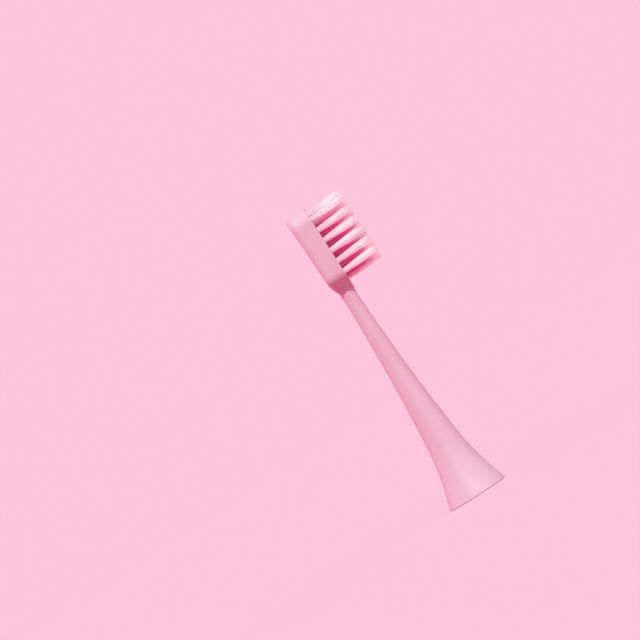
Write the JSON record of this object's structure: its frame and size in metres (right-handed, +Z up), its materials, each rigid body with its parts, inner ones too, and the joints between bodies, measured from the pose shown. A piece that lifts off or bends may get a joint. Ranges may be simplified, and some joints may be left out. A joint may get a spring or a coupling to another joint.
{
  "type": "electric toothbrush head",
  "caption": "Electric toothbrush head: flared hollow skirt, slim round neck and flat head plate with staggered bristle tufts. Pushes onto a handle's drive shaft.",
  "frame": {"origin": "centre of the skirt's rim, on the drive axis, where the head stands on a table", "axes": "+Z up the drive axis from the rim to the toe of the head, +X the way the bristles point, Y across the head"},
  "size_m": [0.0204, 0.0162, 0.0837],
  "materials": {
    "body_plastic": "pink moulded plastic with a soft sheen",
    "socket_plastic": "natural white moulded plastic",
    "spring_steel": "rolled stainless strip",
    "anchor_brass": "cut brass strip",
    "bristle_nylon": "pale pink translucent nylon filament"
  },
  "bodies": {
    "root": {"brush_body": "body_plastic", "drive_socket": "socket_plastic", "retaining_spring": "spring_steel", "tuft_anchors": "anchor_brass", "tuft_centre_1": "bristle_nylon", "tuft_centre_2": "bristle_nylon", "tuft_centre_3": "bristle_nylon", "tuft_centre_4": "bristle_nylon", "tuft_centre_5": "bristle_nylon", "tuft_centre_6": "bristle_nylon", "tuft_far_inner_1": "bristle_nylon", "tuft_far_inner_2": "bristle_nylon", "tuft_far_inner_3": "bristle_nylon", "tuft_far_inner_4": "bristle_nylon", "tuft_far_inner_5": "bristle_nylon", "tuft_far_inner_6": "bristle_nylon", "tuft_far_inner_7": "bristle_nylon", "tuft_far_outer_1": "bristle_nylon", "tuft_far_outer_2": "bristle_nylon", "tuft_far_outer_3": "bristle_nylon", "tuft_far_outer_4": "bristle_nylon", "tuft_far_outer_5": "bristle_nylon", "tuft_far_outer_6": "bristle_nylon", "tuft_near_inner_1": "bristle_nylon", "tuft_near_inner_2": "bristle_nylon", "tuft_near_inner_3": "bristle_nylon", "tuft_near_inner_4": "bristle_nylon", "tuft_near_inner_5": "bristle_nylon", "tuft_near_inner_6": "bristle_nylon", "tuft_near_inner_7": "bristle_nylon", "tuft_near_outer_1": "bristle_nylon", "tuft_near_outer_2": "bristle_nylon", "tuft_near_outer_3": "bristle_nylon", "tuft_near_outer_4": "bristle_nylon", "tuft_near_outer_5": "bristle_nylon", "tuft_near_outer_6": "bristle_nylon"}
  },
  "joints": []
}
